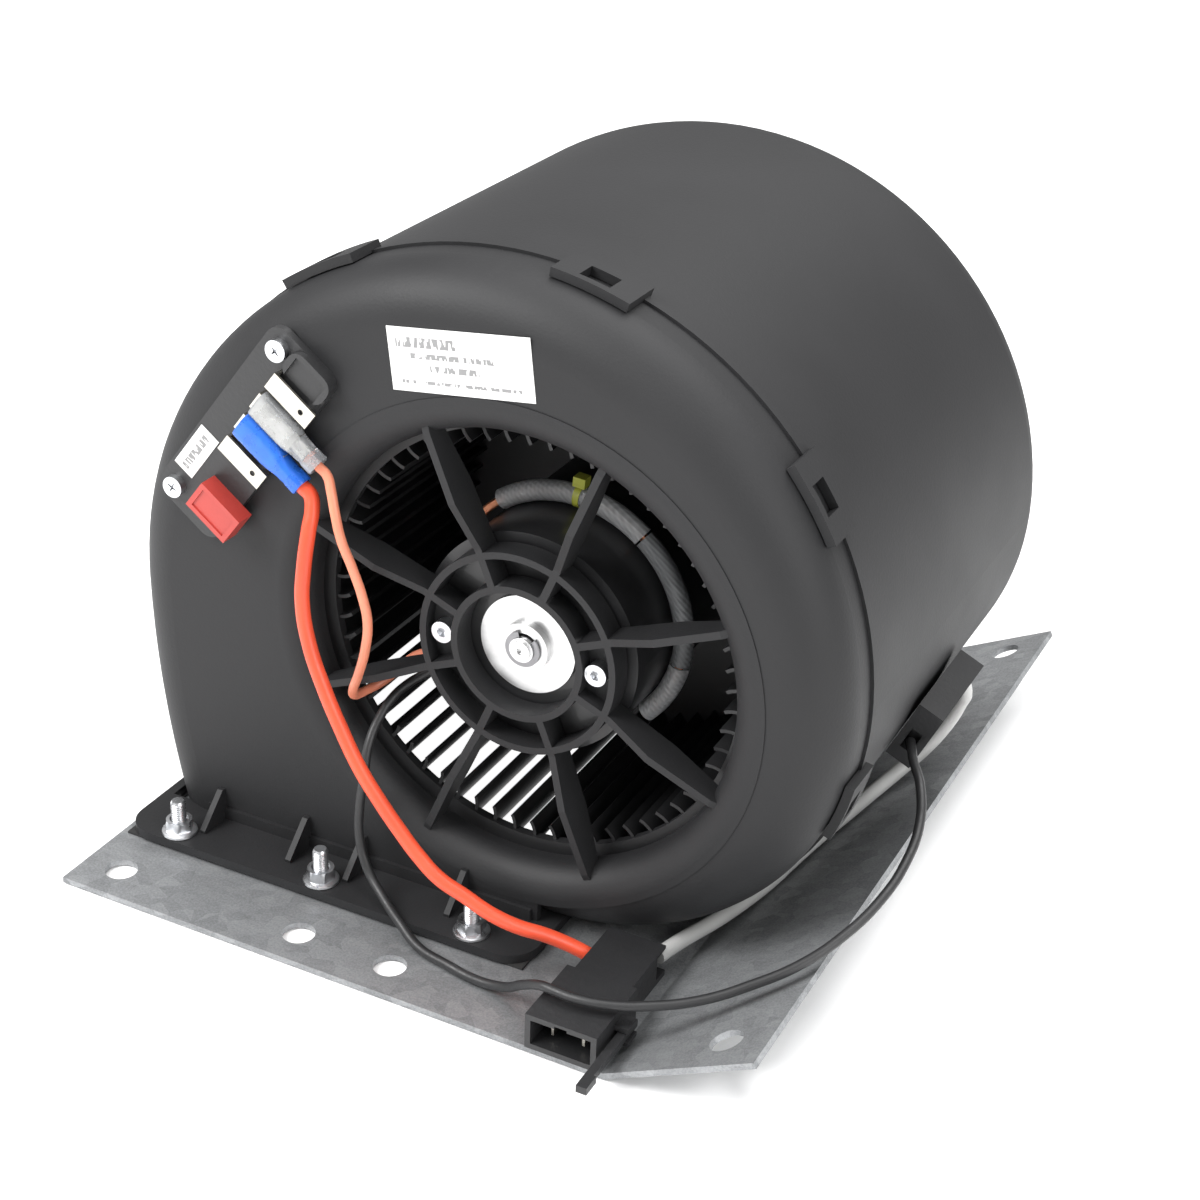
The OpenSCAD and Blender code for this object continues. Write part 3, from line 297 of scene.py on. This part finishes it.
def jacket(name, colour, rough, **constants):
    """Extruded lead insulation: satin, with faint length-wise drift and dust."""
    g = Graph(name, **constants)
    drift = g.noise(45, 3)
    dust = g.noise(900, 3, roughness=0.7)
    dark = tuple(c * 0.8 for c in colour)
    g.join("Base Color", g.blend(drift.span(0.3, 0.7, 0, 1), dark, colour))
    g.join("Roughness", dust.span(0.3, 0.7, rough - 0.05, rough + 0.12))
    g.bump(dust, 0.15, 0.00008)
    return g.material


def woven(name, colour, pitch, rough, **constants):
    """Braided or coated cloth: two crossing sets of threads."""
    g = Graph(name, **constants)
    x, y, z = g.axes()
    warp = ((x + z) * pitch * math.tau).do("SINE")
    weft = ((y - x * 0.3) * pitch * math.tau).do("SINE")
    weave = warp * weft
    fuzz = g.noise(2000, 2)
    dark = tuple(c * 0.6 for c in colour)
    g.join("Base Color", g.blend(weave.span(-1, 1, 0, 0.8) + fuzz * 0.2, dark, colour))
    g.join("Roughness", fuzz.span(0.3, 0.7, rough - 0.05, rough + 0.1))
    g.bump(weave, 0.4, 0.0002)
    return g.material


def layered(name, colour, pitch, **constants):
    """Stacked laminations, or turns of wire laid side by side along the axis."""
    g = Graph(name, **constants)
    _, y, _ = g.axes()
    line = (y * pitch * math.tau).do("SINE")
    stain = g.noise(150, 4)
    dark = tuple(c * 0.45 for c in colour)
    g.join("Base Color", g.blend(line.span(-1, 0.6, 0, 0.75) + stain * 0.25, dark, colour))
    g.join("Roughness", stain.span(0.3, 0.7, 0.3, 0.5))
    g.bump(line, 0.5, 0.0002)
    return g.material


def paper(name, centre, tilt, rows):
    """White film label; broken rules fill its (left, right, low, high) rows in millimetres."""
    g = Graph(name, Coat_Roughness=0.3, Coat_Weight=0.15)
    x, _, z = g.axes()
    x, z = x - centre[0], z - centre[1]
    c, n = math.cos(math.radians(tilt)), math.sin(math.radians(tilt))
    u, v = x * c + z * n, z * c - x * n
    line = g.add("ShaderNodeCombineXYZ", {0: u, 1: v * 0.25})
    broken = g.noise(900, 1, Value(g, line.outputs[0])) > 0.47
    ink = broken * 0
    for left, right, low, high in rows:
        inside = (u > left * MM) * (u < right * MM) * (v > low * MM) * (v < high * MM)
        ink = ink + inside * broken
    fibre = g.noise(1800, 3)
    soil = g.noise(60, 3)
    film = g.blend(soil.span(0.35, 0.75, 0, 0.5) + fibre * 0.2,
                   (0.78, 0.78, 0.77), (0.62, 0.62, 0.6))
    g.join("Base Color", g.blend(ink * 0.75, film, (0.05, 0.05, 0.055)))
    g.join("Roughness", fibre.span(0.3, 0.7, 0.38, 0.5))
    g.bump(fibre, 0.1, 0.00004)
    return g.material


def clear(name, colour, rough, through):
    """Translucent nylon with faint flow marks."""
    g = Graph(name, Transmission_Weight=through, IOR=1.46)
    flow = g.noise(260, 4)
    fine = g.noise(1500, 2)
    dark = tuple(c * 0.72 for c in colour)
    g.join("Base Color", g.blend(flow.span(0.3, 0.7, 0, 1), dark, colour))
    g.join("Roughness", flow.span(0.3, 0.7, rough, rough + 0.15))
    g.bump(fine, 0.15, 0.0001)
    return g.material


def finishes(s):
    """One material for each of the record's slots."""
    return {
        "housing_plastic": moulded("Housing plastic", tuple(s.housing), 0.56, 1300, 0.00014,
                                   0.45, Specular_IOR_Level=0.36),
        "gasket_rubber": moulded("Gasket rubber", (0.018, 0.018, 0.018), 0.75, 900),
        "zinc_plate": galvanised("Zinc plate", s.spangle),
        "zinc_fastener": metal("Zinc fastener", (0.74, 0.75, 0.77), 0.24),
        "motor_black": moulded("Motor enamel", (0.016, 0.016, 0.017), 0.34, 700, 0.0001, 0.3,
                               Coat_Weight=0.2),
        "bright_steel": metal("Bright steel", (0.78, 0.78, 0.78), 0.28, ringed=True),
        "spring_steel": metal("Spring steel", (0.3, 0.3, 0.31), 0.32),
        "core_steel": layered("Core steel", (0.32, 0.31, 0.3), 1000, Metallic=1.0),
        "copper": layered("Copper wire", (0.85, 0.36, 0.2), 900, Metallic=0.85),
        "ferrite": moulded("Ferrite", (0.035, 0.034, 0.036), 0.6, 600, 0.0003),
        "phenolic": moulded("Phenolic", (0.14, 0.055, 0.02), 0.5, 800),
        "carbon": moulded("Carbon", (0.02, 0.02, 0.022), 0.42, 1500),
        "sleeve_white": woven("White sleeve", (0.72, 0.73, 0.74), 450, 0.35,
                              Transmission_Weight=0.6),
        "sleeve_grey": woven("Grey sleeve", (0.16, 0.165, 0.17), 500, 0.45),
        "tie_green": moulded("Green tie", (0.45, 0.47, 0.06), 0.45, 900),
        "wheel_plastic": moulded("Wheel plastic", (0.016, 0.016, 0.017), 0.46, 1100, 0.0001,
                                 0.35),
        "card_plastic": moulded("Card plastic", (0.02, 0.02, 0.021), 0.42, 900, 0.0002),
        "resistor_wire": metal("Resistor wire", (0.42, 0.4, 0.37), 0.4),
        "tin": metal("Tinned brass", (0.72, 0.69, 0.62), 0.3, 700),
        "fuse_red": moulded("Fuse red", (0.42, 0.045, 0.035), 0.38, 700, 0.0002, 0.4),
        "paper_white": paper("Rating film", (-0.0156, AXIS_H + 0.0908), 7, (
            (-20.5, -1, 3.6, 6.6), (-16, 12, 0.4, 2.0), (-10, 6, -3.2, -1.4),
            (-20, 19, -7.0, -6.0))),
        "sleeve_blue": clear("Blue nylon", (0.03, 0.19, 0.85), 0.22, 0.3),
        "sleeve_clear": clear("Clear nylon", (0.75, 0.77, 0.8), 0.2, 0.75),
        "lead_red": jacket("Red jacket", tuple(s.supply_colour), 0.36,
                           Subsurface_Weight=0.05),
        "lead_pink": jacket("Pink jacket", (0.78, 0.25, 0.15), 0.34,
                            Subsurface_Weight=0.05),
        "lead_black": jacket("Black jacket", (0.02, 0.02, 0.021), 0.42),
        "lead_grey": jacket("Grey jacket", (0.5, 0.5, 0.49), 0.4),
        "connector_black": moulded("Connector plastic", (0.014, 0.014, 0.015), 0.4, 800,
                                   0.0002),
    }


# ---------------------------------------------------------------- mesh helpers

def mesh_object(name, verts, faces):
    mesh = bpy.data.meshes.new(name)
    mesh.from_pydata([tuple(v) for v in verts], [], faces)
    bm = bmesh.new()
    bm.from_mesh(mesh)
    bmesh.ops.recalc_face_normals(bm, faces=bm.faces)
    bm.to_mesh(mesh)
    bm.free()
    mesh.shade_smooth()
    mesh.set_sharp_from_angle(angle=SHARP)
    return linked(name, mesh)


def linked(name, data):
    """A new object in the scene's collection."""
    obj = bpy.data.objects.new(name, data)
    bpy.context.collection.objects.link(obj)
    return obj


def corner_radius(radius, corners, angle):
    """Radius at an angle of a circle (0), a polygon (3 or more) or a four-armed cross (-4)."""
    if corners == 0:
        return radius
    if corners < 0:
        return radius * (0.3 + 0.7 * abs(math.cos(2 * angle)) ** 4)
    half = math.pi / corners
    return radius * math.cos(half) / math.cos((angle + half) % (2 * half) - half)


def skin(name, verts, sides):
    """A closed form over rings of points that follow one another, capped at both ends."""
    faces = []
    for ring in range(0, len(verts) - sides, sides):
        for i in range(sides):
            j = (i + 1) % sides
            faces.append((ring + i, ring + j, ring + sides + j, ring + sides + i))
    faces.append(tuple(range(sides))[::-1])
    faces.append(tuple(range(len(verts) - sides, len(verts))))
    return mesh_object(name, verts, faces)


def turned(name, rings, sides=48):
    """A closed form about Z from (radius, height, corners) rings in millimetres."""
    verts = []
    for radius, height, corners in rings:
        for i in range(sides):
            a = math.tau * i / sides
            r = corner_radius(radius, corners, a) * MM
            verts.append((r * math.cos(a), r * math.sin(a), height * MM))
    return skin(name, verts, sides)


def loft(name, sections, matrix, sides=40, power=3.0):
    """A form along X from (x, half width, half depth) sections in millimetres, corners rounded."""
    verts = []
    for x, width, depth in sections:
        for i in range(sides):
            a = math.tau * i / sides
            c, s = math.cos(a), math.sin(a)
            k = (abs(c) ** power + abs(s) ** power) ** (-1 / power)
            verts.append(matrix @ (Vector((x, depth * k * s, width * k * c)) * MM))
    return skin(name, verts, sides)


def repeat_tree(material):
    """Geometry Nodes that set a unit on every point, turned by the point's own turn."""
    tree = bpy.data.node_groups.new("Set on points", "GeometryNodeTree")
    face = tree.interface
    face.new_socket("Points", in_out="INPUT", socket_type="NodeSocketGeometry")
    unit = face.new_socket("Unit", in_out="INPUT", socket_type="NodeSocketObject")
    face.new_socket("Geometry", in_out="OUTPUT", socket_type="NodeSocketGeometry")
    new, link = tree.nodes.new, tree.links.new
    start, end = new("NodeGroupInput"), new("NodeGroupOutput")
    info, place = new("GeometryNodeObjectInfo"), new("GeometryNodeInstanceOnPoints")
    turn, euler = new("GeometryNodeInputNamedAttribute"), new("FunctionNodeEulerToRotation")
    real, coat = new("GeometryNodeRealizeInstances"), new("GeometryNodeSetMaterial")
    turn.data_type = "FLOAT_VECTOR"
    turn.inputs["Name"].default_value = "turn"
    coat.inputs["Material"].default_value = material
    link(start.outputs["Unit"], info.inputs["Object"])
    link(start.outputs["Points"], place.inputs["Points"])
    link(info.outputs["Geometry"], place.inputs["Instance"])
    link(turn.outputs["Attribute"], euler.inputs["Euler"])
    link(euler.outputs["Rotation"], place.inputs["Rotation"])
    link(place.outputs["Instances"], real.inputs["Geometry"])
    link(real.outputs["Geometry"], coat.inputs["Geometry"])
    link(coat.outputs["Geometry"], end.inputs["Geometry"])
    return tree, unit.identifier


def repeated(name, unit, places, material):
    """One piece of a unit set at each (point, turn) by Geometry Nodes, kept as a plain mesh."""
    points = bpy.data.meshes.new(name + " points")
    points.from_pydata([tuple(p) for p, _ in places], [], [])
    turns = points.attributes.new("turn", "FLOAT_VECTOR", "POINT")
    for item, (_, turn) in zip(turns.data, places):
        item.vector = tuple(turn)
    holder = linked(name + " points", points)
    modifier = holder.modifiers.new("Set", "NODES")
    modifier.node_group, unit_id = repeat_tree(material)
    modifier[unit_id] = unit
    graph = bpy.context.evaluated_depsgraph_get()
    mesh = bpy.data.meshes.new_from_object(holder.evaluated_get(graph))
    mesh.name = name
    mesh.set_sharp_from_angle(angle=SHARP)
    for old in (holder, unit):
        bpy.data.objects.remove(old)
    return linked(name, mesh)


def level_sheet(name, low, high, z):
    (x0, y0), (x1, y1) = low, high
    corners = [(x0, y0, z), (x1, y0, z), (x1, y1, z), (x0, y1, z)]
    return mesh_object(name, corners, [(0, 1, 2, 3)])


def paint(obj, material):
    obj.data.materials.clear()
    obj.data.materials.append(material)


# ---------------------------------------------------------------- settings

class BlowerSettings(bpy.types.PropertyGroup):
    supply_d: FloatProperty(name="Supply lead", description="Diameter of the red supply lead",
                            default=0.0046, min=0.003, max=0.006, unit="LENGTH")
    motor_d: FloatProperty(name="Motor lead", description="Diameter of the pink motor lead",
                           default=0.003, min=0.002, max=0.004, unit="LENGTH")
    twin_d: FloatProperty(name="Black lead", description="Diameter of the long black lead",
                          default=0.003, min=0.002, max=0.004, unit="LENGTH")
    return_d: FloatProperty(name="Return lead", description="Diameter of the grey return lead",
                            default=0.005, min=0.003, max=0.006, unit="LENGTH")
    thread_pitch: FloatProperty(name="Thread pitch", description="Pitch of the studs' thread",
                                default=0.0008, min=0.0005, max=0.001, unit="LENGTH")
    housing: FloatVectorProperty(name="Housing colour", description="Colour of the moulded housing",
                                 subtype="COLOR", default=(0.0125, 0.0125, 0.0135), min=0, max=1)
    supply_colour: FloatVectorProperty(name="Supply colour",
                                       description="Colour of the supply lead", subtype="COLOR",
                                       default=(0.8, 0.085, 0.035), min=0, max=1)
    spangle: FloatProperty(name="Spangle", description="Zinc crystals per metre on the base plate",
                           default=190.0, min=50, max=600)
    light: FloatProperty(name="Key light", description="Power of the key light in watts",
                         default=32.0, min=1, max=200)
    samples: IntProperty(name="Samples", description="Samples of the final render",
                         default=192, min=8, max=1024)


class PieceOperator:
    bl_options = {"REGISTER", "UNDO"}

    def execute(self, context):
        self.make(context.scene.blower)
        return {"FINISHED"}


class BLOWER_OT_stage(PieceOperator, bpy.types.Operator):
    """Set the camera, the lights and the white floor"""
    bl_idname = "blower.stage"
    bl_label = "Camera, lights and floor"

    def make(self, s):
        scene = bpy.context.scene
        camera = linked("Camera", bpy.data.cameras.new("Camera"))
        turn = Matrix((CAMERA_RIGHT, CAMERA_UP, -CAMERA_LOOK)).transposed().to_4x4()
        camera.matrix_world = Matrix.Translation(CAMERA_AT) @ turn
        camera.data.lens, camera.data.sensor_width = CAMERA_LENS, CAMERA_SENSOR
        scene.camera = camera
        scene.view_settings.view_transform = "Standard"
        scene.cycles.samples = s.samples
        for name, spot, size, share, aim in LAMPS:
            lamp = bpy.data.lights.new(name, "AREA")
            lamp.size, lamp.energy = size, s.light * share
            obj = linked(name, lamp)
            obj.location = spot
            obj.rotation_euler = (Vector(aim) - Vector(spot)).to_track_quat("-Z", "Y").to_euler()
        self.world(scene)
        self.floor()

    def world(self, scene):
        world = bpy.data.worlds.new("White room")
        world.use_nodes = True
        scene.world = world
        tree = world.node_tree
        back, seen = tree.nodes["Background"], tree.nodes.new("ShaderNodeBackground")
        for node, strength in ((back, 0.55), (seen, 1.0)):
            node.inputs["Color"].default_value = (1, 1, 1, 1)
            node.inputs["Strength"].default_value = strength
        path = tree.nodes.new("ShaderNodeLightPath")
        mix = tree.nodes.new("ShaderNodeMixShader")
        tree.links.new(path.outputs["Is Camera Ray"], mix.inputs[0])
        tree.links.new(back.outputs[0], mix.inputs[1])
        tree.links.new(seen.outputs[0], mix.inputs[2])
        tree.links.new(mix.outputs[0], tree.nodes["World Output"].inputs["Surface"])

    def floor(self):
        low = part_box("base_plate")[0][2] - FLOOR_DROP
        # The outlet should show white, so the floor under it is a glowing panel: painted light that
        # hides the plate's shadow on the floor there.
        panel = level_sheet("Outlet panel", *OUTLET, low + PANEL_LIFT)
        # Painted light: this emission glows white in place of the shadowed floor under the outlet.
        glow = Graph("Outlet painted light", Emission_Strength=1.0, Emission_Color=(1, 1, 1, 1))
        paint(panel, glow.material)
        reach = FLOOR_REACH
        floor = level_sheet("Floor", (-reach, -reach), (reach, reach), low)
        g = Graph("Floor paper", Roughness=0.9, Specular_IOR_Level=0.1)
        g.join("Base Color", g.blend(g.noise(30, 2), (0.93, 0.93, 0.93), (0.95, 0.95, 0.95)))
        paint(floor, g.material)


class BLOWER_OT_finishes(PieceOperator, bpy.types.Operator):
    """Give every solid the finish of its material slot"""
    bl_idname = "blower.finishes"
    bl_label = "Finishes"

    def make(self, s):
        FINISH.update(finishes(s))
        for part in frame["record"]["subparts"]:
            for slot in frame["nodes"][part["node"]].material_slots:
                slot.material = FINISH[part["material_slot"]]
        middle = CARD @ Vector(CARD_LABEL_AT)
        film = paper("Card film", (middle.x, middle.z), CARD_TILT, ((-7.5, 7.5, -1.2, 1.4),))
        frame["nodes"]["card_label"].material_slots[0].material = film


class BLOWER_OT_leads(PieceOperator, bpy.types.Operator):
    """Lay the four leads"""
    bl_idname = "blower.leads"
    bl_label = "Leads"

    def make(self, s):
        for key, slot, stiffness in LEADS:
            self.lead(key + "_lead", ROUTES[key], slot, getattr(s, key + "_d"), stiffness)

    def lead(self, node, route, slot, diameter, stiffness):
        curve = bpy.data.curves.new(node + "_line", "CURVE")
        curve.dimensions = "3D"
        curve.resolution_u = 10
        spline = curve.splines.new("BEZIER")
        spline.bezier_points.add(len(route) - 1)
        for point, place in zip(spline.bezier_points, route):
            point.co = Vector(place) * MM
            point.handle_left_type = point.handle_right_type = "AUTO"
        curve.bevel_depth = diameter / 2
        curve.bevel_resolution = 5
        curve.use_fill_caps = True
        obj = linked(node + "_line", curve)
        paint(obj, FINISH[slot])
        bpy.context.view_layer.update()
        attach(obj, "housing")
        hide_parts(node)


class BLOWER_OT_fasteners(PieceOperator, bpy.types.Operator):
    """Make the flange nuts, the threaded studs and the screws"""
    bl_idname = "blower.fasteners"
    bl_label = "Fasteners"

    def make(self, s):
        # Every nut and screw stops at an angle of its own.
        nuts = [(Vector((x, y, FLANGE_TOP)), (0, 0, 0.35 * i + y * 40))
                for y in STUD_Y for i, x in enumerate(STUD_X)]
        studs = [(Vector((place.x, place.y, 0)), turn) for place, turn in nuts]
        motor = [(Vector((x * MM, MOTOR_SCREW_Y, AXIS_H)), (math.pi / 2, 0.3 * x, 0))
                 for x in MOTOR_SCREW_X]
        card = [(CARD @ Vector((along, CARD_FACE, 0)), (math.pi / 2, 0.4 + along * 9, 0))
                for along in CARD_SCREWS]
        self.set_on("flange_nut_set", turned("nut", NUT), nuts, "flange_nuts")
        stud = turned("stud", self.stud_rings(s.thread_pitch / MM), 28)
        self.set_on("flange_stud_set", stud, studs, "flange_studs")
        self.set_on("motor_screw_heads", turned("head", MOTOR_SCREW), motor)
        self.set_on("card_screw_heads", turned("cap", CARD_SCREW), card)

    def stud_rings(self, pitch):
        rings, z = list(STUD_FOOT), THREAD_START
        while z < THREAD_END:
            rings += [(radius, z + pitch * share, 0) for radius, share in THREAD]
            z += pitch
        return rings + STUD_TIP

    def set_on(self, name, unit, places, node=None):
        obj = repeated(name, unit, places, FINISH["zinc_fastener"])
        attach(obj, "housing")
        if node:
            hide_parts(node)


class BLOWER_OT_sleeves(PieceOperator, bpy.types.Operator):
    """Make the rounded push-on sleeves on the resistor card"""
    bl_idname = "blower.sleeves"
    bl_label = "Push-on sleeves"

    def make(self, s):
        for name, along in SLEEVES:
            place = (CARD @ Matrix.Translation((along * MM, TAB_Y * MM, 0))
                     @ Matrix.Rotation(math.radians(90), 4, "Y"))
            obj = loft(name + "_push_on", SLEEVE, place)
            paint(obj, FINISH["sleeve_" + name])
            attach(obj, "housing")
            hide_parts(name + "_sleeve")


class BLOWER_PT_panel(bpy.types.Panel):
    """Sizes, colours and the steps that build the dressed blower"""
    bl_idname = "BLOWER_PT_panel"
    bl_label = "DC blower fan"
    bl_space_type = "VIEW_3D"
    bl_region_type = "UI"
    bl_category = "Blower"

    def draw(self, context):
        for name in BlowerSettings.__annotations__:
            self.layout.prop(context.scene.blower, name)
        for step in STEPS:
            self.layout.operator(step.bl_idname)


STEPS = (BLOWER_OT_stage, BLOWER_OT_finishes, BLOWER_OT_leads, BLOWER_OT_fasteners,
         BLOWER_OT_sleeves)
CLASSES = (BlowerSettings, *STEPS, BLOWER_PT_panel)


def register():
    for cls in CLASSES:
        bpy.utils.register_class(cls)
    bpy.types.Scene.blower = PointerProperty(type=BlowerSettings)


def unregister():
    del bpy.types.Scene.blower
    for cls in reversed(CLASSES):
        bpy.utils.unregister_class(cls)


def main():
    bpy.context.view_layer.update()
    register()
    bpy.ops.blower.stage()
    bpy.ops.blower.finishes()
    bpy.ops.blower.leads()
    bpy.ops.blower.fasteners()
    bpy.ops.blower.sleeves()


if __name__ == "__main__":
    main()
